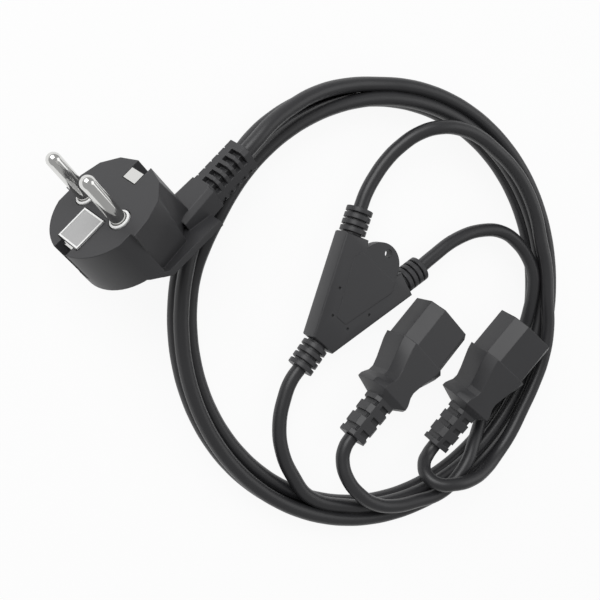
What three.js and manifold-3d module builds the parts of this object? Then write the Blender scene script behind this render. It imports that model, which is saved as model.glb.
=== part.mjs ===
// Power cord splitter: an angled mains plug, a coiled lead, a moulded Y junction and two appliance connectors.
// Millimetres, +Z up. The origin is on the underside of the Y junction, which lies flat on the table.
import * as THREE from 'three';
import { ConvexGeometry } from 'three/addons/geometries/ConvexGeometry.js';
import { mergeVertices } from 'three/addons/utils/BufferGeometryUtils.js';
import Module from 'manifold-3d';

const wasm = await Module();
wasm.setup();

const DEG = Math.PI / 180;

// Clearances
const TOUCH_GAP = 0.3;
const CUT_OVERRUN = 1;

// Cord and coil
const CORD_DIAMETER = 5.5;
const CORD_SIDES = 10;
const CORD_STEP = 12;
const COIL_CENTRE = [4, -13];
const COIL_INNER_RADIUS = 76.2;
const COIL_BAND_WIDTH = 11.7;
const COIL_HEIGHT = 11.1;
const COIL_EDGE_ROUND = 2.6;
const COIL_SEGMENTS = 96;

// Plug face, body and pins
const FACE_RADIUS = 18.4;
const FACE_FLAT = 17.3;
const REAR_DEPTH_AT_EDGE = 17.6;
const REAR_STEP_START = -7;
const REAR_DEPTH_AT_CENTRE = 24;
const REAR_DEPTH_AT_NECK = 31.2;
const FORE_START = -1.5;
const FORE_FACE = [[FORE_START, 19.3], [4.5, 18.5], [11.2, 16.1], [16.2, 10.6], [18.4, 3.4]];
const FORE_FOOT = [[FORE_START, 14.3], [10.9, 10.5], [16.8, 6.4], [19.5, 6]];
const FORE_FOOT_DEPTH = 25;
const FLANGE_START = -3;
const FLANGE_END = 24;
const FLANGE_START_HALF_WIDTH = 17.4;
const FLANGE_HALF_WIDTH = 11.4;
const FLANGE_THICKNESS = 2.5;
const NECK_START = 15;
const NECK_START_HALF_WIDTH = 7;
const NECK_END_HALF_WIDTH = 6;
const GRIP_SCOOP_RADIUS = 7.4;
const GRIP_SCOOP_CENTRE = [18.8, 19];
const GRIP_SCOOP_LEAN = 16.5;
const PIN_SPACING = 19;
const PIN_DIAMETER = 4.8;
const PIN_LENGTH = 19.4;
const COLLAR_WIDTH = 1;
const COLLAR_DEPTH = 1.4;
const COLLAR_PROUD = 0.5;
const PIN_SIDES = 24;

// Plug insides
const BRIDGE_HEIGHT = 9.2;
const BRIDGE_WALL = 0.6;
const BRIDGE_SIDES = 48;
const FACE_SKIN = 3.2;
const EARTH_STRAP_THICKNESS = 0.8;
const EARTH_STRAP_WIDTH = 6.2;
const EARTH_STRAP_SPAN = 31;
const EARTH_TAB_LENGTH = 4;
const EARTH_NOTCH_DEPTH = 13;
const PLATE_LENGTH = 11.4;
const PLATE_WIDTH = 10.6;
const PLATE_CENTRE = -8.9;
const PLATE_RECESS = 0.6;
const PLATE_PROUD = 0.3;
const PLATE_BEVEL = 0.4;

// Plug strain relief
const RELIEF_DEPTH = 26.5;
const RELIEF_SIZE = 10.4;
const RELIEF_CORNER = 1.6;
const RELIEF_START = 29.6;
const RELIEF_END = 47.5;
const RELIEF_CORE = 6.2;
const RELIEF_SLOTS = 5;
const RELIEF_PITCH = 3.2;
const RELIEF_SLOT_WIDTH = 1.8;
const RELIEF_FIRST_SLOT = 30.3;
const RELIEF_WINDOW_REACH = 0.3;
const RELIEF_WINDOW_DROP = 0.8;
const RELIEF_SIDE_SLOT_DROP = -2.5;
const RELIEF_NOTCH_FLARE = 0.4;
const RELIEF_NOTCH_TIP = 2.9;

// Y junction
const SPLITTER_THICKNESS = 10.6;
const SPLITTER_TOP_BEVEL = { rise: 1.3, width: 1, steps: 3 };
const SPLITTER_FOOT_BEVEL = { rise: 3, width: 2.2, steps: 3 };
const SPLITTER_FOOT_HEIGHT = 9;
const SPLITTER_UPPER_START = 4;
const SPLITTER_LEFT = -24.6;
const SPLITTER_LEFT_HALF_WIDTH = 5.6;
const BRANCH_ANGLE = 19.5;
const BRANCH_START = [15.8, 15];
const BRANCH_HALF_WIDTH = 5.3;
const PANEL_RISE = 0.15;
const PANEL_OUTLINE = [[-13, 2.4], [8.5, 11.2], [12.4, 9.8]];
const DOT_DIAMETER = 1.1;
const DOT_DEPTH = 0.6;
const DOT_PLACES = [[-4, 8.6], [-13.7, 4.3]];
const EAR_RADIUS = 8.8;
const EAR_CENTRE = 13.4;
const EAR_THICKNESS = 3.8;
const EAR_HOLE_CENTRE = 19;
const EAR_HOLE_DIAMETER = 3.2;
const EAR_VALLEY = [13.4, 7.4];

// Ringed strain relief of the junction
const RING_RELIEF_DIAMETER = 10.4;
const RING_RELIEF_CORE_DIAMETER = 7.6;
const RING_COUNT = 4;
const RING_THICKNESS = 1.75;
const INPUT_RELIEF_LENGTH = 11.4;
const BRANCH_RELIEF_LENGTH = 10.3;
const CONDUCTOR_BORE = 3.8;

// Splices inside the junction
const SPLICE_DIAMETER = 3.2;
const SPLICE_LENGTH = 12;
const SPLICE_PITCH = 4.1;
const SPLICE_X = -2;

// Appliance connector
const NOSE_LENGTH = 18.2;
const NOSE_WIDTH = 24;
const NOSE_HEIGHT = 15;
const NOSE_CHAMFER = 4.7;
const NOSE_FOOT = 0.4;
const NOSE_WALL = 1.7;
const INSERT_LENGTH = 16.5;
const GRIP_BOTTOM = 9.2;
const SLOT_WIDTH = 2.4;
const SLOT_HEIGHT = 4.6;
const SLOT_DEPTH = 14;
const SLOT_SPACING = 7;
const SLOT_RAISE = 1.4;
const CONTACT_WALL = 0.4;
const GRIP_TOP = 7.6;
const CONNECTOR_RELIEF_START = 42.4;
const CONNECTOR_RELIEF_END = 60.6;
const CONNECTOR_RELIEF_HALF = 5.2;
const CONNECTOR_RELIEF_END_HALF = 4.9;
const CONNECTOR_RELIEF_CORNER = 1.8;
const CONNECTOR_CORE_HALF = 3.7;
const CONNECTOR_GROOVES = [[44.4, 46.4], [50.1, 52.1], [56.4, 58.5]];
const CONNECTOR_BAR = [1, 3];

// Where each moulded piece lies on the table
const PLUG_FACE_PLACE = [-42.85, 100.65, 27.45];
const PLUG_TURN = -2.05;
const PLUG_TILT = -63.85;
const PLUG_ROLL = -3.29;
const SPLITTER_PLACE = [0, 1.4, 0];
const SPLITTER_TURN = 1.6;
const CONNECTOR_A_PLACE = [17.2, -37.8, GRIP_BOTTOM];
const CONNECTOR_A_TURN = -3.5;
const CONNECTOR_A_PITCH = 0;
const CONNECTOR_B_PLACE = [36.7, -68.8, 18.9];
const CONNECTOR_B_TURN = 2.9;
const CONNECTOR_B_PITCH = 11.4;

// Routes of the cords, chosen by hand along the photograph
const LEAD_ROUTE = [
  [4.05, 73.95, 18.2], [10, 73.6, 18.3], [18, 73.2, 17.6], [28, 70.8, 16.2], [40, 65.9, 14.8], [50, 59.5, 14.2],
];
const INPUT_ROUTE = [
  [-68.3, -22, 7.4], [-64.8, -14.8, 7], [-57.5, -7, 6], [-47.5, -1.6, 5.4], [-41.5, 0.2, 5.3], [-36.4, 0.38, 5.3],
];
const BRANCH_B_ROUTE = [
  [25.35, 20.65, 5.3], [31, 22.9, 5.6], [37.5, 24.9, 6.2], [45, 26.1, 7.3], [52.6, 25.2, 9], [61.3, 22.8, 11.5],
  [68.2, 18.6, 13.7], [74.9, 10.5, 14.2], [78.6, 2, 14.2], [80.3, -6.7, 14.2], [81.3, -17.9, 14.2],
  [80.2, -28.7, 14.2], [76.2, -40.8, 14.2], [70.3, -51, 14.2], [64.2, -61.2, 14.2], [55, -71.5, 14.2],
  [46, -81, 14.2], [35.6, -87.6, 14.2], [24, -91.5, 14.2], [13.1, -93.8, 14.2], [1, -95.9, 14.2],
  [-9, -95.8, 14.5], [-17.7, -93.2, 16.6], [-26, -87.3, 19.6], [-32, -80.6, 20.4], [-34.8, -76, 18.6],
  [-34.2, -72.6, 14], [-30.8, -71.4, 8.9], [-26.8, -71.9, 6.6], [-23, -71.85, 6.84],
];
const BRANCH_A_ROUTE = [
  [26.35, -16.35, 5.3], [32.4, -18.1, 5.6], [46, -22.3, 6.3], [57.2, -29.5, 7], [62.8, -37.4, 8], [64.2, -46, 9],
  [63, -53.6, 10], [59.8, -60, 10.8], [55.2, -65.1, 10.6], [48, -70.8, 9.3], [40, -76, 7.4], [31, -80.2, 4.8],
  [22, -83, 2.95], [13, -84.8, 2.8], [4, -85.4, 3.9], [-4, -85.2, 7.5], [-12, -84.4, 11.6], [-20, -84.8, 14.2],
  [-29, -84.9, 14.2], [-37.9, -82, 14.2], [-46.6, -74.4, 14.2], [-54.1, -66.1, 14.2], [-58, -57.9, 14.2],
  [-58.9, -50.3, 14], [-57.2, -42.8, 11.6], [-52.6, -36.9, 9.6], [-48, -34.5, 9.2], [-43.68, -34.08, 9.2],
];

// Materials
const PVC = { color: 0x48484a, roughness: 0.5, metalness: 0 };
const CORD_PVC = { color: 0x3c3c3e, roughness: 0.45, metalness: 0 };
const INSERT_PVC = { color: 0x2c2c2e, roughness: 0.6, metalness: 0 };
const NICKEL = { color: 0xd8d8d6, roughness: 0.25, metalness: 1 };
const TIN = { color: 0xb9b6ae, roughness: 0.4, metalness: 1 };
const WHITE_NYLON = { color: 0xe9e9e7, roughness: 0.5, metalness: 0 };
const GREY_LABEL = { color: 0xb6b6b6, roughness: 0.45, metalness: 0 };

function toSolid(geometry) {
  const bare = geometry.clone();
  bare.deleteAttribute('normal');
  bare.deleteAttribute('uv');
  const merged = mergeVertices(bare, 1e-4);
  return new wasm.Manifold(new wasm.Mesh({
    numProp: 3,
    vertProperties: new Float32Array(merged.attributes.position.array),
    triVerts: new Uint32Array(merged.index.array),
  }));
}

function toGeometry(solid) {
  const mesh = solid.getMesh();
  const geometry = new THREE.BufferGeometry();
  geometry.setAttribute('position', new THREE.BufferAttribute(mesh.vertProperties, 3));
  geometry.setIndex(new THREE.BufferAttribute(mesh.triVerts, 1));
  geometry.computeVertexNormals();
  return geometry;
}

function join(...geometries) {
  return toGeometry(geometries.map(toSolid).reduce((sum, next) => sum.add(next)));
}

function cut(base, ...tools) {
  return toGeometry(tools.map(toSolid).reduce((rest, tool) => rest.subtract(tool), toSolid(base)));
}

function common(first, second) {
  return toGeometry(toSolid(first).intersect(toSolid(second)));
}

// A block between two opposite corners
function block(x0, x1, y0, y1, z0, z1) {
  return new THREE.BoxGeometry(x1 - x0, y1 - y0, z1 - z0).translate((x0 + x1) / 2, (y0 + y1) / 2, (z0 + z1) / 2);
}

function rodAlongZ(radius, z0, z1, sides) {
  return new THREE.CylinderGeometry(radius, radius, z1 - z0, sides).rotateX(Math.PI / 2).translate(0, 0, (z0 + z1) / 2);
}

function rodAlongX(radius, x0, x1, sides) {
  return new THREE.CylinderGeometry(radius, radius, x1 - x0, sides).rotateZ(Math.PI / 2).translate((x0 + x1) / 2, 0, 0);
}

// A flat outline pushed up from z0 to z1
function slab(points, z0, z1, bevel) {
  const shape = new THREE.Shape(points.map(([x, y]) => new THREE.Vector2(x, y)));
  const rise = bevel ? bevel.rise : 0;
  const options = { depth: z1 - z0 - 2 * rise, bevelEnabled: false };
  if (bevel) {
    Object.assign(options, {
      bevelEnabled: true, bevelThickness: rise, bevelSize: bevel.width, bevelOffset: -bevel.width, bevelSegments: bevel.steps,
    });
  }
  return new THREE.ExtrudeGeometry(shape, options).translate(0, 0, z0 + rise);
}

// The convex body through two or more sections, each a list of points
function hull(points) {
  return new ConvexGeometry(points.map(([x, y, z]) => new THREE.Vector3(x, y, z)));
}

function loft(sections) {
  const pieces = [];
  for (let i = 0; i + 1 < sections.length; i += 1) {
    pieces.push(hull([...sections[i], ...sections[i + 1]]));
  }
  return join(...pieces);
}

function arc(radius, from, to, steps) {
  const points = [];
  for (let i = 0; i <= steps; i += 1) {
    const angle = from + ((to - from) * i) / steps;
    points.push([radius * Math.cos(angle), radius * Math.sin(angle)]);
  }
  return points;
}

function named(name, geometry, material, parent) {
  const mesh = new THREE.Mesh(geometry, new THREE.MeshStandardMaterial(material));
  mesh.name = name;
  parent.add(mesh);
  return mesh;
}

function place(parent, position, turn = 0) {
  const holder = new THREE.Group();
  holder.position.set(...position);
  holder.rotation.z = turn * DEG;
  parent.add(holder);
  return holder;
}

// Angled plug. Here X runs toward the cord exit, Z is the way the pins point, and the face is at z = 0.
const PIN_RADIUS = PIN_DIAMETER / 2;
const PIN_PLACES = { line: -PIN_SPACING / 2, neutral: PIN_SPACING / 2 };
const BRIDGE_TOP = -FACE_SKIN - TOUCH_GAP;
const BRIDGE_BOTTOM = BRIDGE_TOP - BRIDGE_HEIGHT;
const STRAP_TOP = BRIDGE_BOTTOM - TOUCH_GAP;
const STRAP_BOTTOM = STRAP_TOP - EARTH_STRAP_THICKNESS;
const STRAP_HALF_SPAN = EARTH_STRAP_SPAN / 2;
const BRIDGE_RADIUS = STRAP_HALF_SPAN - EARTH_STRAP_THICKNESS - 2 * TOUCH_GAP - BRIDGE_WALL;

function discOutline() {
  const corner = Math.asin(FACE_FLAT / FACE_RADIUS);
  const overlap = FORE_START + TOUCH_GAP;
  return [[overlap, FACE_FLAT], ...arc(FACE_RADIUS, Math.PI - corner, Math.PI + corner, 24), [overlap, -FACE_FLAT]];
}

function flangeOutline() {
  return [[FLANGE_START, -FLANGE_START_HALF_WIDTH], [0, -FLANGE_START_HALF_WIDTH], [FLANGE_END, -FLANGE_HALF_WIDTH],
    [FLANGE_END, FLANGE_HALF_WIDTH], [0, FLANGE_START_HALF_WIDTH], [FLANGE_START, FLANGE_START_HALF_WIDTH]];
}

// The side toward the cord: it tapers from the face down to the foot, with a finger scoop on each flank
function foreBody() {
  const face = mirrored(FORE_FACE).map(([x, y]) => [x, y, 0]);
  const foot = mirrored(FORE_FOOT).map(([x, y]) => [x, y, -FORE_FOOT_DEPTH]);
  const reach = 2 * FORE_FOOT_DEPTH;
  const scoops = [1, -1].map((side) => rodAlongZ(GRIP_SCOOP_RADIUS, -reach, reach, 40)
    .rotateX(-side * GRIP_SCOOP_LEAN * DEG).translate(GRIP_SCOOP_CENTRE[0], side * GRIP_SCOOP_CENTRE[1], 0));
  return cut(common(hull([...face, ...foot]), backWedge(CUT_OVERRUN, 0)), ...scoops);
}

// The slanted back of the plug, as a side view pushed across the whole width
function backWedge(top, lift) {
  const edge = -FACE_RADIUS - CUT_OVERRUN;
  const points = [
    [edge, top], [edge, -REAR_DEPTH_AT_EDGE + lift], [REAR_STEP_START, -REAR_DEPTH_AT_EDGE + lift], [0, -REAR_DEPTH_AT_CENTRE + lift],
    [FLANGE_END + CUT_OVERRUN, -REAR_DEPTH_AT_NECK + lift], [FLANGE_END + CUT_OVERRUN, top],
  ];
  const reach = FACE_RADIUS + 2 * CUT_OVERRUN;
  return slab(points, -reach, reach).rotateX(Math.PI / 2);
}

function reliefSection(x, half, corner) {
  const flat = half - corner;
  const section = [];
  for (const [y, z] of [[flat, half], [half, flat], [half, -flat], [flat, -half], [-flat, -half], [-half, -flat], [-half, flat], [-flat, half]]) {
    section.push([x, y, z - RELIEF_DEPTH]);
  }
  return section;
}

function neckSection(x, halfWidth, halfDepth) {
  const corner = RELIEF_CORNER;
  return [[halfWidth, halfDepth - corner], [halfWidth - corner, halfDepth], [-halfWidth + corner, halfDepth], [-halfWidth, halfDepth - corner],
    [-halfWidth, -halfDepth + corner], [-halfWidth + corner, -halfDepth], [halfWidth - corner, -halfDepth], [halfWidth, -halfDepth + corner]]
    .map(([y, z]) => [x, y, z - RELIEF_DEPTH]);
}

// Windows over one edge, short slots low on that side, and V notches along the opposite edge
function reliefSlots() {
  const outer = RELIEF_SIZE / 2 + CUT_OVERRUN;
  const core = RELIEF_CORE / 2;
  const middle = -RELIEF_DEPTH;
  const slots = [];
  for (let i = 0; i < RELIEF_SLOTS; i += 1) {
    const x0 = RELIEF_FIRST_SLOT + i * RELIEF_PITCH;
    const x1 = x0 + RELIEF_SLOT_WIDTH;
    const tip = (x0 + x1) / 2;
    slots.push(block(x0, x1, -outer, RELIEF_WINDOW_REACH, middle + core, middle + outer));
    slots.push(block(x0, x1, -outer, -core, middle + RELIEF_WINDOW_DROP, middle + outer));
    slots.push(block(x0, x1, -outer, -core, middle - outer, middle + RELIEF_SIDE_SLOT_DROP));
    const notch = [[x0 - RELIEF_NOTCH_FLARE, outer], [tip, RELIEF_NOTCH_TIP], [x1 + RELIEF_NOTCH_FLARE, outer]];
    slots.push(slab(notch, middle - outer, middle + outer));
  }
  return slots;
}

function plugShell() {
  const deep = -REAR_DEPTH_AT_NECK - CUT_OVERRUN;
  const disc = common(slab(discOutline(), deep, 0), backWedge(CUT_OVERRUN, 0));
  const flange = common(slab(flangeOutline(), deep, 0), cut(backWedge(CUT_OVERRUN, 0), backWedge(2 * CUT_OVERRUN, FLANGE_THICKNESS)));
  const neck = hull([...neckSection(NECK_START, NECK_START_HALF_WIDTH, RELIEF_SIZE / 2),
    ...neckSection(RELIEF_START, NECK_END_HALF_WIDTH, RELIEF_SIZE / 2)]);
  const relief = cut(hull([...reliefSection(RELIEF_START - CUT_OVERRUN, RELIEF_SIZE / 2, RELIEF_CORNER),
    ...reliefSection(RELIEF_END, RELIEF_SIZE / 2, RELIEF_CORNER)]), ...reliefSlots());
  return join(disc, foreBody(), flange, neck, relief);
}

function plugCuts() {
  const cuts = [];
  for (const side of [1, -1]) {
    cuts.push(rodAlongZ(PIN_RADIUS + COLLAR_WIDTH + TOUCH_GAP, -COLLAR_DEPTH - TOUCH_GAP, CUT_OVERRUN, PIN_SIDES)
      .translate(0, (side * PIN_SPACING) / 2, 0));
    cuts.push(rodAlongZ(PIN_RADIUS + TOUCH_GAP, -FACE_SKIN - CUT_OVERRUN, 0, PIN_SIDES)
      .translate(0, (side * PIN_SPACING) / 2, 0));
  }
  const halfStrap = EARTH_STRAP_WIDTH / 2 + TOUCH_GAP;
  const strapInside = STRAP_HALF_SPAN - EARTH_STRAP_THICKNESS - TOUCH_GAP;
  cuts.push(block(strapInside, FACE_RADIUS + CUT_OVERRUN, -halfStrap, halfStrap, -EARTH_NOTCH_DEPTH, CUT_OVERRUN));
  cuts.push(block(-FACE_RADIUS - CUT_OVERRUN, -strapInside, -halfStrap, halfStrap, -EARTH_NOTCH_DEPTH, CUT_OVERRUN));
  cuts.push(block(-STRAP_HALF_SPAN - TOUCH_GAP, STRAP_HALF_SPAN + TOUCH_GAP, -halfStrap, halfStrap,
    STRAP_BOTTOM - TOUCH_GAP, -EARTH_NOTCH_DEPTH + CUT_OVERRUN));
  cuts.push(block(STRAP_HALF_SPAN - EARTH_TAB_LENGTH - TOUCH_GAP, STRAP_HALF_SPAN, -halfStrap, halfStrap,
    -EARTH_STRAP_THICKNESS - TOUCH_GAP, CUT_OVERRUN));
  cuts.push(rodAlongZ(BRIDGE_RADIUS + TOUCH_GAP, BRIDGE_BOTTOM - TOUCH_GAP, BRIDGE_TOP + TOUCH_GAP, BRIDGE_SIDES));
  cuts.push(block(PLATE_CENTRE - PLATE_LENGTH / 2 - TOUCH_GAP, PLATE_CENTRE + PLATE_LENGTH / 2 + TOUCH_GAP,
    -PLATE_WIDTH / 2 - TOUCH_GAP, PLATE_WIDTH / 2 + TOUCH_GAP, -PLATE_RECESS - TOUCH_GAP, CUT_OVERRUN));
  return cuts;
}

function earthStrap() {
  const half = EARTH_STRAP_WIDTH / 2;
  const outside = STRAP_HALF_SPAN;
  const inside = outside - EARTH_STRAP_THICKNESS;
  const bottom = block(-outside, outside, -half, half, STRAP_BOTTOM, STRAP_TOP);
  const near = block(inside, outside, -half, half, STRAP_BOTTOM, 0);
  const far = block(-outside, -inside, -half, half, STRAP_BOTTOM, -PLATE_RECESS - 2 * TOUCH_GAP);
  const tab = block(outside - EARTH_TAB_LENGTH, outside, -half, half, -EARTH_STRAP_THICKNESS, 0);
  return join(bottom, near, far, tab);
}

function bridge() {
  const body = rodAlongZ(BRIDGE_RADIUS, BRIDGE_BOTTOM, BRIDGE_TOP, BRIDGE_SIDES);
  const bores = Object.values(PIN_PLACES).map((y) => rodAlongZ(PIN_RADIUS + TOUCH_GAP, BRIDGE_BOTTOM - CUT_OVERRUN,
    BRIDGE_TOP + CUT_OVERRUN, PIN_SIDES).translate(0, y, 0));
  return cut(body, ...bores);
}

function pinGeometry() {
  const profile = [new THREE.Vector2(0, BRIDGE_BOTTOM), new THREE.Vector2(PIN_RADIUS, BRIDGE_BOTTOM)];
  const domeCentre = PIN_LENGTH - PIN_RADIUS;
  const domeSteps = 6;
  for (let i = 0; i <= domeSteps; i += 1) {
    const angle = (i / domeSteps) * (Math.PI / 2);
    profile.push(new THREE.Vector2(i === domeSteps ? 0 : PIN_RADIUS * Math.cos(angle), domeCentre + PIN_RADIUS * Math.sin(angle)));
  }
  return new THREE.LatheGeometry(profile, PIN_SIDES).rotateX(Math.PI / 2);
}

function collarGeometry() {
  const inner = PIN_RADIUS + TOUCH_GAP;
  const outer = PIN_RADIUS + COLLAR_WIDTH;
  const profile = [[inner, -COLLAR_DEPTH], [outer, -COLLAR_DEPTH], [outer, COLLAR_PROUD / 2], [outer - COLLAR_PROUD / 2, COLLAR_PROUD],
    [inner, COLLAR_PROUD], [inner, -COLLAR_DEPTH]];
  return new THREE.LatheGeometry(profile.map(([x, y]) => new THREE.Vector2(x, y)), PIN_SIDES).rotateX(Math.PI / 2);
}

function addPlug(parent) {
  const turned = place(parent, PLUG_FACE_PLACE, PLUG_TURN);
  const tilted = new THREE.Group();
  tilted.rotation.x = PLUG_TILT * DEG;
  turned.add(tilted);
  const plug = place(tilted, [0, 0, 0], PLUG_ROLL);
  named('plug_body', cut(plugShell(), ...plugCuts()), PVC, plug);
  named('plug_bridge', bridge(), INSERT_PVC, plug);
  for (const [role, y] of Object.entries(PIN_PLACES)) {
    named(`pin_${role}`, pinGeometry(), NICKEL, plug).position.set(0, y, 0);
    named(`collar_${role}`, collarGeometry(), WHITE_NYLON, plug).position.set(0, y, 0);
  }
  named('earth_strap', earthStrap(), NICKEL, plug);
  const halfLength = PLATE_LENGTH / 2;
  const halfWidth = PLATE_WIDTH / 2;
  named('face_plate', slab([[-halfLength, -halfWidth], [halfLength, -halfWidth], [halfLength, halfWidth], [-halfLength, halfWidth]],
    -PLATE_RECESS, PLATE_PROUD, { rise: PLATE_BEVEL, width: PLATE_BEVEL, steps: 1 }), GREY_LABEL, plug).position.set(PLATE_CENTRE, 0, 0);
}

// Y junction. Here X runs from the supply cord toward the two branches.
const SPLITTER_MID = SPLITTER_THICKNESS / 2;
const BRANCH_TILT = BRANCH_ANGLE * DEG;

function bodyHalf() {
  const acrossX = -Math.sin(BRANCH_TILT) * BRANCH_HALF_WIDTH;
  const acrossY = Math.cos(BRANCH_TILT) * BRANCH_HALF_WIDTH;
  const [x, y] = BRANCH_START;
  return [[SPLITTER_LEFT, SPLITTER_LEFT_HALF_WIDTH], [x + acrossX, y + acrossY], [x - acrossX, y - acrossY], EAR_VALLEY];
}

function mirrored(half) {
  return [...half.map(([x, y]) => [x, -y]), ...[...half].reverse()];
}

function ringedRelief(length) {
  const radius = RING_RELIEF_DIAMETER / 2;
  const core = RING_RELIEF_CORE_DIAMETER / 2;
  const pitch = length / RING_COUNT;
  const pieces = [rodAlongX(core, -CUT_OVERRUN - RING_THICKNESS, length, PIN_SIDES)];
  for (let i = 0; i < RING_COUNT; i += 1) {
    const start = (i + 1) * pitch - RING_THICKNESS;
    pieces.push(rodAlongX(radius, start, start + RING_THICKNESS, PIN_SIDES));
  }
  return join(...pieces);
}

function onBranch(geometry, side) {
  const [x, y] = BRANCH_START;
  return geometry.rotateZ(side * BRANCH_TILT).translate(x, side * y, SPLITTER_MID);
}

function splitterShell() {
  const top = SPLITTER_THICKNESS - PANEL_RISE;
  const foot = slab(mirrored(bodyHalf()), 0, SPLITTER_FOOT_HEIGHT, SPLITTER_FOOT_BEVEL);
  const upper = slab(mirrored(bodyHalf()), SPLITTER_UPPER_START, top, SPLITTER_TOP_BEVEL);
  const panel = slab(mirrored(PANEL_OUTLINE), SPLITTER_THICKNESS - 2 * PANEL_RISE, SPLITTER_THICKNESS);
  const ear = rodAlongZ(EAR_RADIUS, top - EAR_THICKNESS, top, 48).translate(EAR_CENTRE, 0, 0);
  const input = ringedRelief(INPUT_RELIEF_LENGTH).rotateZ(Math.PI).translate(SPLITTER_LEFT, 0, SPLITTER_MID);
  const branches = [1, -1].map((side) => onBranch(ringedRelief(BRANCH_RELIEF_LENGTH), side));
  return join(foot, upper, panel, ear, input, ...branches);
}

function splitterCuts() {
  const bore = CONDUCTOR_BORE / 2;
  const top = SPLITTER_THICKNESS - PANEL_RISE;
  const chamberHalf = SPLICE_PITCH + SPLICE_DIAMETER / 2 + TOUCH_GAP;
  const chamberReach = SPLICE_LENGTH / 2 + TOUCH_GAP + CONDUCTOR_BORE;
  const cuts = [
    block(SPLICE_X - chamberReach, SPLICE_X + chamberReach, -chamberHalf, chamberHalf,
      SPLITTER_MID - SPLICE_DIAMETER / 2 - TOUCH_GAP, SPLITTER_MID + SPLICE_DIAMETER / 2 + TOUCH_GAP),
    rodAlongX(bore, SPLITTER_LEFT - INPUT_RELIEF_LENGTH - CUT_OVERRUN, SPLICE_X - chamberReach + CUT_OVERRUN, 16)
      .translate(0, 0, SPLITTER_MID),
    rodAlongZ(EAR_HOLE_DIAMETER / 2, -CUT_OVERRUN, SPLITTER_THICKNESS + CUT_OVERRUN, 24).translate(EAR_HOLE_CENTRE, 0, 0),
  ];
  const [x, y] = BRANCH_START;
  const toChamber = Math.hypot(x - SPLICE_X - chamberReach, y - chamberHalf) + CONDUCTOR_BORE;
  for (const side of [1, -1]) {
    cuts.push(onBranch(rodAlongX(bore, -toChamber, BRANCH_RELIEF_LENGTH + CUT_OVERRUN, 16), side));
    for (const [dotX, dotY] of DOT_PLACES) {
      cuts.push(rodAlongZ(DOT_DIAMETER / 2, top - DOT_DEPTH, SPLITTER_THICKNESS + CUT_OVERRUN, 12).translate(dotX, side * dotY, 0));
    }
  }
  return cuts;
}

function addSplitter(parent) {
  const splitter = place(parent, SPLITTER_PLACE, SPLITTER_TURN);
  named('splitter_body', cut(splitterShell(), ...splitterCuts()), PVC, splitter);
  ['line', 'earth', 'neutral'].forEach((role, index) => {
    named(`splice_${role}`, rodAlongX(SPLICE_DIAMETER / 2, -SPLICE_LENGTH / 2, SPLICE_LENGTH / 2, PIN_SIDES), TIN, splitter)
      .position.set(SPLICE_X, (index - 1) * SPLICE_PITCH, SPLITTER_MID);
  });
}

// Appliance connector. Here the nose front is at x = 0 and the cord leaves toward -X.
function connectorSection(x, halfWidth, halfHeight, chamfer, foot = 1) {
  const top = halfHeight;
  return [[halfWidth, top - chamfer], [halfWidth - chamfer, top], [-halfWidth + chamfer, top], [-halfWidth, top - chamfer],
    [-halfWidth, -top + foot], [-halfWidth + foot, -top], [halfWidth - foot, -top], [halfWidth, -top + foot]].map(([y, z]) => [-x, y, z]);
}

// Distance behind the front, half width, and the width and height of the top chamfers of each section of the grip
const GRIP_SECTIONS = [
  [NOSE_LENGTH, 12.7, 4.1, 3.7],
  [21.4, 11.9, 3.9, 3.9],
  [25, 10.4, 3.4, 4.3],
  [29, 8.7, 2.9, 4.8],
  [32.5, 7.6, 2.6, 5.1],
  [34.8, 7.9, 2.6, 5.1],
  [36.6, 9.1, 2.9, 5.1],
  [38, 9.9, 3.1, 5.1],
  [39.6, 10.1, 3.1, 5.1],
];

function gripSection([x, halfWidth, across, down]) {
  const foot = 1;
  const half = [[halfWidth, GRIP_TOP - down], [halfWidth - across, GRIP_TOP], [halfWidth - foot, -GRIP_BOTTOM], [halfWidth, -GRIP_BOTTOM + foot]];
  return [...half, ...half.map(([y, z]) => [-y, z])].map(([y, z]) => [-x, y, z]);
}

// A groove round the strain relief, left open by the core and by a bar on the top and on the bottom
function connectorGroove([x0, x1]) {
  const outer = CONNECTOR_RELIEF_HALF + CUT_OVERRUN;
  const core = CONNECTOR_CORE_HALF;
  const [bar0, bar1] = CONNECTOR_BAR;
  return cut(block(-x1, -x0, -outer, outer, -outer, outer),
    block(-x1 - CUT_OVERRUN, -x0 + CUT_OVERRUN, -core, core, -core, core),
    block(-x1 - CUT_OVERRUN, -x0 + CUT_OVERRUN, bar0, bar1, 0, outer + CUT_OVERRUN),
    block(-x1 - CUT_OVERRUN, -x0 + CUT_OVERRUN, -bar1, -bar0, -outer - CUT_OVERRUN, 0));
}

function connectorShell() {
  const nose = hull([...connectorSection(0, NOSE_WIDTH / 2, NOSE_HEIGHT / 2, NOSE_CHAMFER, NOSE_FOOT),
    ...connectorSection(NOSE_LENGTH + CUT_OVERRUN, NOSE_WIDTH / 2, NOSE_HEIGHT / 2, NOSE_CHAMFER, NOSE_FOOT)]);
  const reliefStart = connectorSection(CONNECTOR_RELIEF_START, CONNECTOR_RELIEF_HALF, CONNECTOR_RELIEF_HALF,
    CONNECTOR_RELIEF_CORNER, CONNECTOR_RELIEF_CORNER);
  const grip = loft([...GRIP_SECTIONS.map(gripSection), reliefStart]);
  const relief = hull([...reliefStart, ...connectorSection(CONNECTOR_RELIEF_END, CONNECTOR_RELIEF_END_HALF,
    CONNECTOR_RELIEF_END_HALF, CONNECTOR_RELIEF_CORNER, CONNECTOR_RELIEF_CORNER)]);
  return join(nose, grip, cut(relief, ...CONNECTOR_GROOVES.map(connectorGroove)));
}

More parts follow.
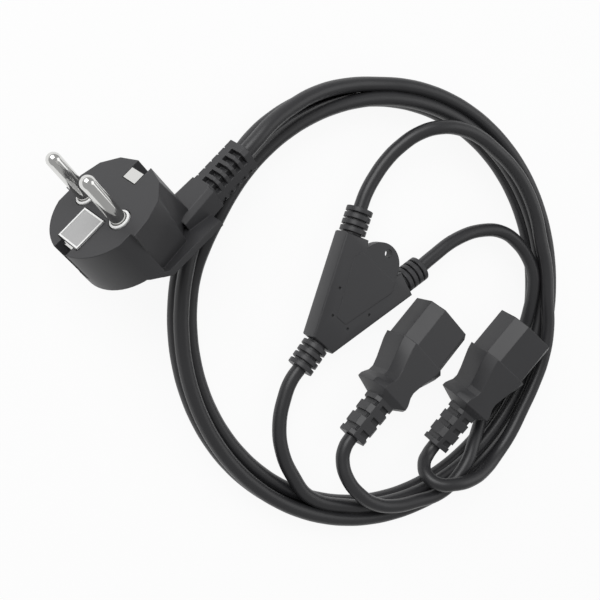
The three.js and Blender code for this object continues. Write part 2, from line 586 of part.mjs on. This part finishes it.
function insertSection(x, gap) {
  return connectorSection(x, NOSE_WIDTH / 2 - NOSE_WALL - gap, NOSE_HEIGHT / 2 - NOSE_WALL - gap, NOSE_CHAMFER - NOSE_WALL / 2, NOSE_FOOT);
}

const SLOT_PLACES = { line: [SLOT_SPACING, -SLOT_RAISE], earth: [0, SLOT_RAISE], neutral: [-SLOT_SPACING, -SLOT_RAISE] };

function slotBlock([y, z], depth, grow) {
  const halfWidth = SLOT_WIDTH / 2 + grow;
  const halfHeight = SLOT_HEIGHT / 2 + grow;
  return block(-depth, CUT_OVERRUN, y - halfWidth, y + halfWidth, z - halfHeight, z + halfHeight);
}

function connectorInsert() {
  const body = hull([...insertSection(TOUCH_GAP, 0), ...insertSection(INSERT_LENGTH, 0)]);
  const slots = Object.values(SLOT_PLACES).map((spot) => slotBlock(spot, SLOT_DEPTH, 0));
  return cut(body, ...slots);
}

// A folded spring contact: a square sleeve that the appliance's blade slides into
function contactGeometry() {
  const back = SLOT_DEPTH - TOUCH_GAP;
  const front = SLOT_DEPTH / 2;
  const halfWidth = SLOT_WIDTH / 2 - TOUCH_GAP;
  const halfHeight = SLOT_HEIGHT / 2 - TOUCH_GAP;
  const sleeve = block(-back, -front, -halfWidth, halfWidth, -halfHeight, halfHeight);
  const mouth = block(-back + CONTACT_WALL, -front + CUT_OVERRUN, -halfWidth + CONTACT_WALL, halfWidth - CONTACT_WALL,
    -halfHeight + CONTACT_WALL, halfHeight - CONTACT_WALL);
  return cut(sleeve, mouth);
}

function addConnector(parent, letter, position, turn, pitch) {
  const turned = place(parent, position, turn);
  const connector = new THREE.Group();
  connector.rotation.y = -pitch * DEG;
  turned.add(connector);
  const pocket = hull([...insertSection(-CUT_OVERRUN, -TOUCH_GAP), ...insertSection(INSERT_LENGTH + TOUCH_GAP, -TOUCH_GAP)]);
  named(`connector_${letter}_body`, cut(connectorShell(), pocket), PVC, connector);
  named(`connector_${letter}_insert`, connectorInsert(), INSERT_PVC, connector);
  for (const [role, [y, z]] of Object.entries(SLOT_PLACES)) {
    named(`contact_${letter}_${role}`, contactGeometry(), TIN, connector).position.set(0, y, z);
  }
}

// Cords
function cordTube(route) {
  const curve = new THREE.CatmullRomCurve3(route.map(([x, y, z]) => new THREE.Vector3(x, y, z)), false, 'centripetal');
  const section = new THREE.Shape(arc(CORD_DIAMETER / 2, 0, 2 * Math.PI * (1 - 1 / CORD_SIDES), CORD_SIDES - 1)
    .map(([x, y]) => new THREE.Vector2(x, y)));
  const steps = Math.round(curve.getLength() / CORD_STEP);
  return new THREE.ExtrudeGeometry(section, { steps, extrudePath: curve, bevelEnabled: false });
}

function coilRing() {
  const inner = COIL_INNER_RADIUS;
  const outer = inner + COIL_BAND_WIDTH;
  const round = COIL_EDGE_ROUND;
  const profile = [];
  const corners = [[outer - round, round, -90], [outer - round, COIL_HEIGHT - round, 0], [inner + round, COIL_HEIGHT - round, 90],
    [inner + round, round, 180]];
  for (const [x, y, from] of corners) {
    for (const [dx, dy] of arc(round, from * DEG, (from + 90) * DEG, 3)) {
      profile.push(new THREE.Vector2(x + dx, y + dy));
    }
  }
  profile.push(profile[0].clone());
  return new THREE.LatheGeometry(profile, COIL_SEGMENTS).rotateX(Math.PI / 2);
}

function addCords(parent) {
  named('cord_coil', coilRing(), CORD_PVC, parent).position.set(COIL_CENTRE[0], COIL_CENTRE[1], 0);
  named('cord_plug_lead', cordTube(LEAD_ROUTE), CORD_PVC, parent);
  named('cord_splitter_lead', cordTube(INPUT_ROUTE), CORD_PVC, parent);
  named('cord_branch_a', cordTube(BRANCH_A_ROUTE), CORD_PVC, parent);
  named('cord_branch_b', cordTube(BRANCH_B_ROUTE), CORD_PVC, parent);
}

const group = new THREE.Group();
addPlug(group);
addSplitter(group);
addConnector(group, 'a', CONNECTOR_A_PLACE, CONNECTOR_A_TURN, CONNECTOR_A_PITCH);
addConnector(group, 'b', CONNECTOR_B_PLACE, CONNECTOR_B_TURN, CONNECTOR_B_PITCH);
addCords(group);

export default group;
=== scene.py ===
"""Dressed model of a power cord splitter: a coiled mains lead that divides at a moulded Y junction."""

import math

import bmesh
import bpy
from mathutils import Matrix, Vector


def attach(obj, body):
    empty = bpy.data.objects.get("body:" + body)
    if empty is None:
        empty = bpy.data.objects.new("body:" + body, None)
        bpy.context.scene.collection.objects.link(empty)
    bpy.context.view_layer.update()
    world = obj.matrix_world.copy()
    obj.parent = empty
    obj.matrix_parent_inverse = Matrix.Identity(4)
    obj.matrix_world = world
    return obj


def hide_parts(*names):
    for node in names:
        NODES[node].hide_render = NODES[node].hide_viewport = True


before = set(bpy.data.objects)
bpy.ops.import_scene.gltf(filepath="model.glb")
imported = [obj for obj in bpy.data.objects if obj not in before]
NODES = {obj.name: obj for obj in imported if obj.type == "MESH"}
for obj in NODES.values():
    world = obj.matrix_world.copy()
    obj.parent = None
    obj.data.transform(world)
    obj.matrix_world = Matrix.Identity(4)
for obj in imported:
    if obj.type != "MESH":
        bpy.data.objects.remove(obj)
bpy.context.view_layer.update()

bl_info = {
    "name": "Power Cord Splitter",
    "version": (1, 0, 0),
    "blender": (4, 5, 0),
    "location": "View3D > Sidebar > Cord Splitter",
    "description": "Builds the finishes, cords and fine detail of a power cord splitter over its solid model",
    "category": "Object",
}

# Coil of the supply cord, in metres and in degrees of travel
FULL_TURN = 360
POINTS_PER_TURN = 48
COIL_CENTRE = Vector((0.004, -0.013, 0.0))
LOW_LAYER = 0.00285
HIGH_LAYER = 0.0084
# Radius and height of the four passes, from the first to the last
PASSES = [(0.0844, HIGH_LAYER), (0.0847, LOW_LAYER), (0.0793, LOW_LAYER), (0.0792, HIGH_LAYER)]
# Travel, counted from the start of each pass, over which the cord crosses to the next one
CROSSINGS = [(352, 374), (338, 362), (325, 349)]
COIL_STARTS_AT = 45
COIL_ENDS_AT = 3 * FULL_TURN + 247

# Routes of the stretches that aren't coiled, chosen along the photograph
LEAD_ROUTE = [
    (0.0037, 0.07395, 0.0182), (0.0100, 0.0736, 0.0182), (0.0180, 0.0730, 0.0174),
    (0.0285, 0.0703, 0.0156), (0.0400, 0.0655, 0.0130), (0.0518, 0.0577, 0.0104),
]
INPUT_ROUTE = [
    (-0.0713, -0.0345, 0.0081), (-0.0690, -0.0240, 0.0076), (-0.0648, -0.0148, 0.0070),
    (-0.0575, -0.0070, 0.0060), (-0.0475, -0.0016, 0.0054), (-0.0415, 0.0002, 0.0053),
    (-0.0359, 0.0004, 0.0053),
]
BRANCH_B_ROUTE = [
    (0.0249, 0.0205, 0.0053), (0.0310, 0.0228, 0.0056), (0.0377, 0.0243, 0.0062),
    (0.0451, 0.0252, 0.0073), (0.0526, 0.0250, 0.0090), (0.0613, 0.0230, 0.0115),
    (0.0682, 0.0187, 0.0137), (0.0749, 0.0105, 0.0142), (0.0786, 0.0020, 0.0142),
    (0.0803, -0.0067, 0.0142), (0.0813, -0.0179, 0.0142), (0.0802, -0.0287, 0.0142),
    (0.0762, -0.0408, 0.0142), (0.0703, -0.0510, 0.0142), (0.0642, -0.0612, 0.0142),
    (0.0550, -0.0715, 0.0142), (0.0460, -0.0810, 0.0142), (0.0356, -0.0876, 0.0142),
    (0.0240, -0.0915, 0.0142), (0.0131, -0.0938, 0.0142), (0.0010, -0.0959, 0.0142),
    (-0.0090, -0.0958, 0.0145), (-0.0177, -0.0932, 0.0166), (-0.0260, -0.0873, 0.0196),
    (-0.0322, -0.0806, 0.0202), (-0.0358, -0.0762, 0.0180), (-0.0359, -0.0722, 0.0138),
    (-0.0322, -0.0708, 0.0095), (-0.0274, -0.0715, 0.0072), (-0.0224, -0.0718, 0.0070),
]
BRANCH_A_ROUTE = [
    (0.0259, -0.0162, 0.0053), (0.0325, -0.0177, 0.0056), (0.0461, -0.0219, 0.0063),
    (0.0572, -0.0295, 0.0070), (0.0628, -0.0374, 0.0080), (0.0642, -0.0460, 0.0090),
    (0.0630, -0.0536, 0.0100), (0.0598, -0.0600, 0.0108), (0.0552, -0.0651, 0.0106),
    (0.0480, -0.0708, 0.0093), (0.0400, -0.0760, 0.0074), (0.0310, -0.0802, 0.0048),
    (0.0220, -0.0830, 0.0031), (0.0130, -0.0848, 0.0030), (0.0040, -0.0854, 0.0039),
    (-0.0040, -0.0852, 0.0075), (-0.0120, -0.0844, 0.0116), (-0.0200, -0.0848, 0.0142),
    (-0.0290, -0.0849, 0.0142), (-0.0379, -0.0820, 0.0142), (-0.0466, -0.0744, 0.0142),
    (-0.0541, -0.0661, 0.0142), (-0.0580, -0.0579, 0.0142), (-0.0589, -0.0503, 0.0140),
    (-0.0572, -0.0428, 0.0116), (-0.0526, -0.0369, 0.0096), (-0.0480, -0.0345, 0.0092),
    (-0.0432, -0.0341, 0.0092),
]

# The plug's own frame, in metres and degrees: its face is at z = 0, the pins point along +Z, the cord leaves along +X
PLUG_FACE_PLACE = (-0.04285, 0.10065, 0.02745)
PLUG_TURN = -2.05
PLUG_TILT = -63.85
PLUG_ROLL = -3.29
PLATE_CENTRE = (-0.0089, 0.0)
PLATE_TOP = 0.0003
BORDER_RISE = 0.00025

# Solids that share a finish
BODIES = ["plug_body", "splitter_body", "connector_a_body", "connector_b_body"]
INSERTS = ["plug_bridge", "connector_a_insert", "connector_b_insert"]
PINS = ["pin_line", "pin_neutral"]
COLLARS = ["collar_line", "collar_neutral"]

# Corners closer than this, in metres, are one corner of a solid
WELD_GAP = 0.000005
# Edges that bend by more degrees than this stay crisp
BODY_EDGE_ANGLE = 24
TURNED_EDGE_ANGLE = 40

# Materials: typical indices of refraction, and how far apart the slow drift of a moulding's tone is, in millimetres
PVC_IOR = 1.52
NYLON_IOR = 1.53
DRIFT_MM = 12
# Numbers of the colour sockets of a mix node
COLOUR_A = 6
COLOUR_B = 7
MIXED_COLOUR = 2

# Camera, matched to the photograph, in metres and degrees
LENS_MM = 52.15
SENSOR_MM = 36.0
CAMERA_PLACE = Vector((-0.0833, 0.1607, 0.28596))
CAMERA_AIM = Vector((-0.01552, 0.01486, 0.0))
CAMERA_ROLL = 105.105
NEAREST_SEEN = 0.01

# Stage: place, width and power of each lamp, in metres and watts, and how pale the rest is
LAMPS = {
    "key_lamp": (Vector((0.12, 0.8, 0.62)), 0.7, 6.5),
    "fill_lamp": (Vector((0.7, -0.5, 0.7)), 0.8, 2.0),
}
FLOOR_HALF_SIDE = 2.0
FLOOR_TONE = (0.86, 0.86, 0.86, 1)
FLOOR_GLOW_SHARE = 0.92
DOME_STRENGTH = 0.42
WHITE = (1, 1, 1, 1)


def linear(hex_colour):
    """An sRGB hex colour as linear red, green, blue and alpha."""
    channels = [int(hex_colour[i:i + 2], 16) / 255 for i in (1, 3, 5)]
    return tuple(c / 12.92 if c <= 0.04045 else ((c + 0.055) / 1.055) ** 2.4 for c in channels) + (1.0,)


def size(name, default, description):
    """A length in metres that a user can change."""
    return bpy.props.FloatProperty(name=name, default=default, unit="LENGTH", precision=4, description=description)


def colour(name, default, description):
    """A colour that a user can change, given as sRGB hex."""
    return bpy.props.FloatVectorProperty(
        name=name, subtype="COLOR", size=4, min=0, max=1, default=linear(default), description=description)


class CordSettings(bpy.types.PropertyGroup):
    """Sizes and colour of the cords."""
    diameter: size("Diameter", 0.0055, "Outer diameter of the sheath")
    sheath: colour("Sheath", "#28282a", "Colour of the extruded sheath")


class MouldingSettings(bpy.types.PropertyGroup):
    """Colours and edge softness of the moulded pieces."""
    body: colour("Mouldings", "#323234", "Colour of the plug, the junction and the connectors")
    # The inserts' default is darker than the mouldings: their own matt black plus painted shade, so that the noses
    # look deep
    insert: colour("Inserts", "#1d1d1f", "Colour of the hard inserts")
    edge: size("Edge radius", 0.0005, "Radius that the moulding's outer edges show")


class FittingSettings(bpy.types.PropertyGroup):
    """Colours of the small fittings, and sizes of the plate's border."""
    pins: colour("Pins", "#dcdcda", "Colour of the plated pins and the earth strap")
    contacts: colour("Contacts", "#b9b6ae", "Colour of the tinned contacts and splices")
    collars: colour("Collars", "#efefee", "Colour of the nylon collars")
    plate: colour("Plate", "#a9a9a9", "Colour of the plate's middle")
    plate_length: size("Plate length", 0.0114, "Length of the plate's raised border")
    plate_width: size("Plate width", 0.0106, "Width of the plate's raised border")
    border: size("Border", 0.0006, "Width of the plate's raised border line")


def add_node(tree, kind, settings=None, links=None):
    """Adds one node, sets its values and inputs, and links its inputs from other nodes' outputs."""
    node = tree.nodes.new(kind)
    for key, value in (settings or {}).items():
        if isinstance(key, int) or key in node.inputs:
            node.inputs[key].default_value = value
        else:
            setattr(node, key, value)
    for key, (source, output) in (links or {}).items():
        tree.links.new(source.outputs[output], node.inputs[key])
    return node


def blank_material(name):
    """A new material and its emptied node tree."""
    material = bpy.data.materials.new(name)
    material.use_nodes = True
    material.node_tree.nodes.clear()
    return material, material.node_tree


def shade(colour_value, factor):
    """The same colour, darker or lighter by a factor."""
    return tuple(c * factor for c in colour_value[:3]) + (1.0,)


def soft_pvc(name, colour_value, roughness, edge, grain_mm, grain_depth):
    """Soft PVC: an even dark grey, a broad dull sheen and a grain felt more than seen."""
    material, tree = blank_material(name)
    place = add_node(tree, "ShaderNodeTexCoord")
    grain = add_node(tree, "ShaderNodeTexNoise", {"Scale": 1000 / grain_mm, "Detail": 2.0, "Roughness": 0.6},
                     {"Vector": (place, "Object")})
    # The tone drifts slowly, as where the compound cooled unevenly
    drift = add_node(tree, "ShaderNodeTexNoise", {"Scale": 1000 / DRIFT_MM, "Detail": 3.0},
                     {"Vector": (place, "Object")})
    tone = add_node(tree, "ShaderNodeMix",
                    {"data_type": "RGBA", COLOUR_A: shade(colour_value, 0.92), COLOUR_B: shade(colour_value, 1.08)},
                    {"Factor": (drift, "Fac")})
    rough = add_node(tree, "ShaderNodeMapRange", {"To Min": roughness - 0.05, "To Max": roughness + 0.06},
                     {"Value": (drift, "Fac")})
    soft = add_node(tree, "ShaderNodeBevel", {"samples": 6, "Radius": edge})
    bump = add_node(tree, "ShaderNodeBump", {"Strength": 0.35, "Distance": grain_depth},
                    {"Height": (grain, "Fac"), "Normal": (soft, "Normal")})
    shader = add_node(tree, "ShaderNodeBsdfPrincipled", {"IOR": PVC_IOR},
                      {"Base Color": (tone, MIXED_COLOUR), "Roughness": (rough, "Result"), "Normal": (bump, "Normal")})
    add_node(tree, "ShaderNodeOutputMaterial", links={"Surface": (shader, "BSDF")})
    return material


def plated_metal(name, colour_value, roughness, marks_mm):
    """A thin bright plate over brass: clear reflections, which fine marks break up a little."""
    material, tree = blank_material(name)
    place = add_node(tree, "ShaderNodeTexCoord")
    marks = add_node(tree, "ShaderNodeTexNoise", {"Scale": 1000 / marks_mm, "Detail": 2.0},
                     {"Vector": (place, "Object")})
    rough = add_node(tree, "ShaderNodeMapRange", {"To Min": roughness * 0.8, "To Max": roughness * 1.3},
                     {"Value": (marks, "Fac")})
    bump = add_node(tree, "ShaderNodeBump", {"Strength": 0.15, "Distance": 0.00002}, {"Height": (marks, "Fac")})
    shader = add_node(tree, "ShaderNodeBsdfPrincipled", {"Base Color": colour_value, "Metallic": 1.0},
                      {"Roughness": (rough, "Result"), "Normal": (bump, "Normal")})
    add_node(tree, "ShaderNodeOutputMaterial", links={"Surface": (shader, "BSDF")})
    return material


def moulded_nylon(name, colour_value, roughness):
    """Injection-moulded nylon: clean, slightly waxy and smooth, with a faint cloud in its tone."""
    material, tree = blank_material(name)
    place = add_node(tree, "ShaderNodeTexCoord")
    cloud_mm = 3
    cloud = add_node(tree, "ShaderNodeTexNoise", {"Scale": 1000 / cloud_mm, "Detail": 2.0},
                     {"Vector": (place, "Object")})
    tone = add_node(tree, "ShaderNodeMix",
                    {"data_type": "RGBA", COLOUR_A: shade(colour_value, 0.95), COLOUR_B: colour_value},
                    {"Factor": (cloud, "Fac")})
    soft = add_node(tree, "ShaderNodeBevel", {"samples": 4, "Radius": 0.0002})
    shader = add_node(tree, "ShaderNodeBsdfPrincipled", {"IOR": NYLON_IOR, "Roughness": roughness},
                      {"Base Color": (tone, MIXED_COLOUR), "Normal": (soft, "Normal")})
    add_node(tree, "ShaderNodeOutputMaterial", links={"Surface": (shader, "BSDF")})
    return material


def dress(nodes, material):
    """Gives solids of the frame a new finish."""
    for node in nodes:
        for slot in NODES[node].material_slots:
            slot.material = material


def smoothing_steps(angle):
    """Steps that weld a solid's corners, smooth its shading and part it again at edges over that many degrees."""
    steps = bpy.data.node_groups.new(f"smooth_under_{angle}_degrees", "GeometryNodeTree")
    steps.interface.new_socket("Geometry", in_out="INPUT", socket_type="NodeSocketGeometry")
    steps.interface.new_socket("Geometry", in_out="OUTPUT", socket_type="NodeSocketGeometry")
    solid = add_node(steps, "NodeGroupInput")
    welded = add_node(steps, "GeometryNodeMergeByDistance", {"Distance": WELD_GAP}, {"Geometry": (solid, "Geometry")})
    bare = add_node(steps, "GeometryNodeRemoveAttribute", {"Name": "custom_normal"},
                    {"Geometry": (welded, "Geometry")})
    shaded = add_node(steps, "GeometryNodeSetShadeSmooth", links={"Geometry": (bare, "Geometry")})
    bend = add_node(steps, "GeometryNodeInputMeshEdgeAngle")
    sharp = add_node(steps, "FunctionNodeCompare", {"operation": "GREATER_THAN", "B": math.radians(angle)},
                     {"A": (bend, "Unsigned Angle")})
    parted = add_node(steps, "GeometryNodeSplitEdges",
                      links={"Mesh": (shaded, "Geometry"), "Selection": (sharp, "Result")})
    add_node(steps, "NodeGroupOutput", links={"Geometry": (parted, "Mesh")})
    return steps


def smooth(nodes, angle):
    """Rounds the shading of turned or curved solids by a modifier, and leaves their own meshes as they are."""
    steps = smoothing_steps(angle)
    for node in nodes:
        modifier = NODES[node].modifiers.new("Smoothing", "NODES")
        modifier.node_group = steps


def ease(value):
    """Runs from 0 to 1 as the value does, slowly at both ends."""
    clamped = min(1.0, max(0.0, value))
    return clamped * clamped * (3 - 2 * clamped)


def coil_point(travel):
    """The cord's centre after that many degrees of travel, clockwise seen from above, counted from +Y."""
    radius, height = PASSES[0]
    for number, (start, end) in enumerate(CROSSINGS):
        part = ease((travel - FULL_TURN * number - start) / (end - start))
        radius += (PASSES[number + 1][0] - PASSES[number][0]) * part
        height += (PASSES[number + 1][1] - PASSES[number][1]) * part
    angle = math.radians(90 - travel)
    return COIL_CENTRE + Vector((radius * math.cos(angle), radius * math.sin(angle), height))


def supply_route():
    """The supply cord's centre line: out of the plug, round the coil and into the junction."""
    step = FULL_TURN / POINTS_PER_TURN
    count = int((COIL_ENDS_AT - COIL_STARTS_AT) / step)
    coil = [coil_point(COIL_STARTS_AT + i * step) for i in range(count + 1)]
    return LEAD_ROUTE + coil + INPUT_ROUTE


def cord_curve(name, points, diameter, material):
    """A round sheath swept along a smooth curve through the points."""
    curve = bpy.data.curves.new(name, "CURVE")
    curve.dimensions = "3D"
    curve.resolution_u = 6
    curve.bevel_depth = diameter / 2
    curve.bevel_resolution = 5
    curve.use_fill_caps = True
    spline = curve.splines.new("BEZIER")
    spline.bezier_points.add(len(points) - 1)
    for knot, point in zip(spline.bezier_points, points):
        knot.co = point
        knot.handle_left_type = "AUTO"
        knot.handle_right_type = "AUTO"
    curve.materials.append(material)
    sheath = bpy.data.objects.new(name, curve)
    bpy.context.scene.collection.objects.link(sheath)
    bpy.context.view_layer.update()
    return sheath


def add_cord(name, route, diameter, material, replaced):
    """Lays one cord along its route, in place of its plain solids."""
    points = [Vector(point) for point in route]
    sheath = cord_curve(name, points, diameter, material)
    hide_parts(*replaced)
    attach(sheath, "root")


def plate_border(length, width, line, rise):
    """A raised rim round the plate, as a ring of four mitred bars with a softened top."""
    bm = bmesh.new()
    shoulder = rise * 0.6
    slope = line * 0.25
    profile = ((0, 0), (0, shoulder), (slope, rise), (line - slope, rise), (line, shoulder), (line, 0))
    rings = []
    for inset, height in profile:
        x = length / 2 - inset
        y = width / 2 - inset
        rings.append([bm.verts.new((px, py, height)) for px, py in ((x, y), (-x, y), (-x, -y), (x, -y))])
    for ring, after in zip(rings, rings[1:] + rings[:1]):
        for i in range(4):
            bm.faces.new((ring[i], ring[(i + 1) % 4], after[(i + 1) % 4], after[i]))
    bmesh.ops.recalc_face_normals(bm, faces=bm.faces)
    mesh = bpy.data.meshes.new("plate_border")
    bm.to_mesh(mesh)
    bm.free()
    border = bpy.data.objects.new("plate_border", mesh)
    bpy.context.scene.collection.objects.link(border)
    return border


def plug_frame():
    """The plug's place and lean as one matrix."""
    return (Matrix.Translation(PLUG_FACE_PLACE) @ Matrix.Rotation(math.radians(PLUG_TURN), 4, "Z")
            @ Matrix.Rotation(math.radians(PLUG_TILT), 4, "X") @ Matrix.Rotation(math.radians(PLUG_ROLL), 4, "Z"))


def glow_when_seen(tree, other_ray, share, lighting, glow):
    """Shows a share of the glow to the camera and to one other kind of ray, and the lighting shader to the rest."""
    path = add_node(tree, "ShaderNodeLightPath")
    seen = add_node(tree, "ShaderNodeMath", {"operation": "MAXIMUM"},
                    {0: (path, "Is Camera Ray"), 1: (path, other_ray)})
    part = add_node(tree, "ShaderNodeMath", {"operation": "MULTIPLY", 1: share}, {0: (seen, "Value")})
    return add_node(tree, "ShaderNodeMixShader", links={0: (part, "Value"), 1: (lighting, 0), 2: (glow, 0)})


def pale_table():
    """A matt white table that looks almost as white as its surroundings and still takes a soft shadow."""
    material, tree = blank_material("pale_table")
    diffuse = add_node(tree, "ShaderNodeBsdfDiffuse", {"Color": FLOOR_TONE})
    glow = add_node(tree, "ShaderNodeEmission", {"Color": WHITE, "Strength": 1.0})
    mixed = glow_when_seen(tree, "Is Glossy Ray", FLOOR_GLOW_SHARE, diffuse, glow)
    add_node(tree, "ShaderNodeOutputMaterial", links={"Surface": (mixed, "Shader")})
    return material


def white_surroundings():
    """A dome that lights softly and looks white."""
    world = bpy.data.worlds.new("surroundings")
    world.use_nodes = True
    tree = world.node_tree
    tree.nodes.clear()
    dome = add_node(tree, "ShaderNodeBackground", {"Color": WHITE, "Strength": DOME_STRENGTH})
    white = add_node(tree, "ShaderNodeBackground", {"Color": WHITE, "Strength": 1.0})
    mixed = glow_when_seen(tree, "Is Transmission Ray", 1.0, dome, white)
    add_node(tree, "ShaderNodeOutputWorld", links={"Surface": (mixed, "Shader")})
    return world


class SPLITTER_OT_camera(bpy.types.Operator):
    """Places the camera where the photograph was taken from."""
    bl_idname = "splitter.camera"
    bl_label = "Camera"

    def execute(self, context):
        data = bpy.data.cameras.new("camera")
        data.lens = LENS_MM
        data.sensor_width = SENSOR_MM
        data.clip_start = NEAREST_SEEN
        camera = bpy.data.objects.new("camera", data)
        context.scene.collection.objects.link(camera)
        forward = (CAMERA_AIM - CAMERA_PLACE).normalized()
        level = forward.cross(Vector((0, 0, 1))).normalized()
        right = Matrix.Rotation(math.radians(-CAMERA_ROLL), 3, forward) @ level
        up = right.cross(forward)
        camera.matrix_world = Matrix((
            (right.x, up.x, -forward.x, CAMERA_PLACE.x),
            (right.y, up.y, -forward.y, CAMERA_PLACE.y),
            (right.z, up.z, -forward.z, CAMERA_PLACE.z),
            (0, 0, 0, 1)))
        context.scene.camera = camera
        return {"FINISHED"}


class SPLITTER_OT_cords(bpy.types.Operator):
    """Lays the supply cord in its coil and the two branch cords over it."""
    bl_idname = "splitter.cords"
    bl_label = "Cords"

    def execute(self, context):
        cords = context.scene.splitter_cords
        # The die leaves an extruded sheath smoother than a mould does: a fainter grain and a soft line of light
        sheath = soft_pvc("extruded_pvc_sheath", tuple(cords.sheath), roughness=0.4, edge=0.0003, grain_mm=0.5,
                          grain_depth=0.00001)
        add_cord("supply_cord", supply_route(), cords.diameter, sheath,
                 ["cord_coil", "cord_plug_lead", "cord_splitter_lead"])
        add_cord("branch_cord_a", BRANCH_A_ROUTE, cords.diameter, sheath, ["cord_branch_a"])
        add_cord("branch_cord_b", BRANCH_B_ROUTE, cords.diameter, sheath, ["cord_branch_b"])
        return {"FINISHED"}


class SPLITTER_OT_mouldings(bpy.types.Operator):
    """Finishes the plug, the junction and the connectors with their inserts."""
    bl_idname = "splitter.mouldings"
    bl_label = "Mouldings"

    def execute(self, context):
        mouldings = context.scene.splitter_mouldings
        # A spark-finished mould leaves a satin skin whose rounded edges catch a thin light
        body = soft_pvc("satin_moulded_pvc", tuple(mouldings.body), roughness=0.46, edge=mouldings.edge,
                        grain_mm=0.35, grain_depth=0.00002)
        # The inserts are blacker and duller: partly their own matt black, and partly painted shade that makes the
        # noses look deep
        insert = soft_pvc("matt_insert_with_painted_shade", tuple(mouldings.insert), roughness=0.6, edge=mouldings.edge / 2,
                          grain_mm=0.25, grain_depth=0.00002)
        dress(BODIES, body)
        smooth(BODIES, BODY_EDGE_ANGLE)
        dress(INSERTS, insert)
        return {"FINISHED"}


class SPLITTER_OT_pins(bpy.types.Operator):
    """Finishes the two pins and the earth strap."""
    bl_idname = "splitter.pins"
    bl_label = "Pins and Earth Strap"

    def execute(self, context):
        # Nickel plate over turned brass: bright, with clear reflections
        nickel = plated_metal("bright_nickel_plate", tuple(context.scene.splitter_fittings.pins), roughness=0.12,
                              marks_mm=0.4)
        dress(PINS + ["earth_strap"], nickel)
        smooth(PINS, TURNED_EDGE_ANGLE)
        return {"FINISHED"}


class SPLITTER_OT_contacts(bpy.types.Operator):
    """Finishes the sprung contacts in the connectors and the crimped splices in the junction."""
    bl_idname = "splitter.contacts"
    bl_label = "Contacts and Splices"

    def execute(self, context):
        # Tinned strip: a greyer and duller shine than the pins have
        tin = plated_metal("tinned_brass", tuple(context.scene.splitter_fittings.contacts), roughness=0.35,
                           marks_mm=0.3)
        dress([node for node in NODES if node.startswith(("contact_", "splice_"))], tin)
        return {"FINISHED"}


class SPLITTER_OT_plate(bpy.types.Operator):
    """Finishes the collars and the plate, and lays the raised border round the plate."""
    bl_idname = "splitter.plate"
    bl_label = "Collars and Plate"

    def execute(self, context):
        fittings = context.scene.splitter_fittings
        # White nylon: a clean, slightly waxy white
        nylon = moulded_nylon("moulded_white_nylon", tuple(fittings.collars), roughness=0.35)
        # The plate is moulded smoother, so its grey catches an even light
        plate = moulded_nylon("smooth_grey_plate", tuple(fittings.plate), roughness=0.3)
        dress(COLLARS, nylon)
        smooth(COLLARS, TURNED_EDGE_ANGLE)
        dress(["face_plate"], plate)
        border = plate_border(fittings.plate_length, fittings.plate_width, fittings.border, BORDER_RISE)
        border.matrix_world = plug_frame() @ Matrix.Translation((*PLATE_CENTRE, PLATE_TOP))
        border.data.materials.append(nylon)
        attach(border, "root")
        return {"FINISHED"}


class SPLITTER_OT_stage(bpy.types.Operator):
    """Adds the pale floor, the soft lamps and the white surroundings."""
    bl_idname = "splitter.stage"
    bl_label = "Stage"

    def execute(self, context):
        scene = context.scene
        scene.view_settings.view_transform = "Standard"
        scene.world = white_surroundings()
        mesh = bpy.data.meshes.new("floor")
        bm = bmesh.new()
        bmesh.ops.create_grid(bm, x_segments=1, y_segments=1, size=FLOOR_HALF_SIDE)
        bm.to_mesh(mesh)
        bm.free()
        mesh.materials.append(pale_table())
        floor = bpy.data.objects.new("floor", mesh)
        scene.collection.objects.link(floor)
        for name, (place, width, power) in LAMPS.items():
            data = bpy.data.lights.new(name, "AREA")
            data.size = width
            data.energy = power
            lamp = bpy.data.objects.new(name, data)
            lamp.location = place
            lamp.rotation_euler = (-place).to_track_quat("-Z", "Y").to_euler()
            scene.collection.objects.link(lamp)
        return {"FINISHED"}


STEPS = ["camera", "cords", "mouldings", "pins", "contacts", "plate", "stage"]
SETTINGS = {
    "splitter_cords": CordSettings,
    "splitter_mouldings": MouldingSettings,
    "splitter_fittings": FittingSettings,
}


class SPLITTER_PT_panel(bpy.types.Panel):
    """Lists the sizes, colours and steps."""
    bl_idname = "SPLITTER_PT_panel"
    bl_label = "Cord Splitter"
    bl_space_type = "VIEW_3D"
    bl_region_type = "UI"
    bl_category = "Cord Splitter"

    def draw(self, context):
        for group, kind in SETTINGS.items():
            for name in kind.__annotations__:
                self.layout.prop(getattr(context.scene, group), name)
        for step in STEPS:
            self.layout.operator(f"splitter.{step}")


CLASSES = [
    *SETTINGS.values(), SPLITTER_OT_camera, SPLITTER_OT_cords, SPLITTER_OT_mouldings, SPLITTER_OT_pins,
    SPLITTER_OT_contacts, SPLITTER_OT_plate, SPLITTER_OT_stage, SPLITTER_PT_panel,
]


def register():
    for cls in CLASSES:
        bpy.utils.register_class(cls)
    for group, kind in SETTINGS.items():
        setattr(bpy.types.Scene, group, bpy.props.PointerProperty(type=kind))


def unregister():
    for group in SETTINGS:
        delattr(bpy.types.Scene, group)
    for cls in reversed(CLASSES):
        bpy.utils.unregister_class(cls)


def main():
    register()
    for step in STEPS:
        getattr(bpy.ops.splitter, step)()


if __name__ == "__main__":
    main()
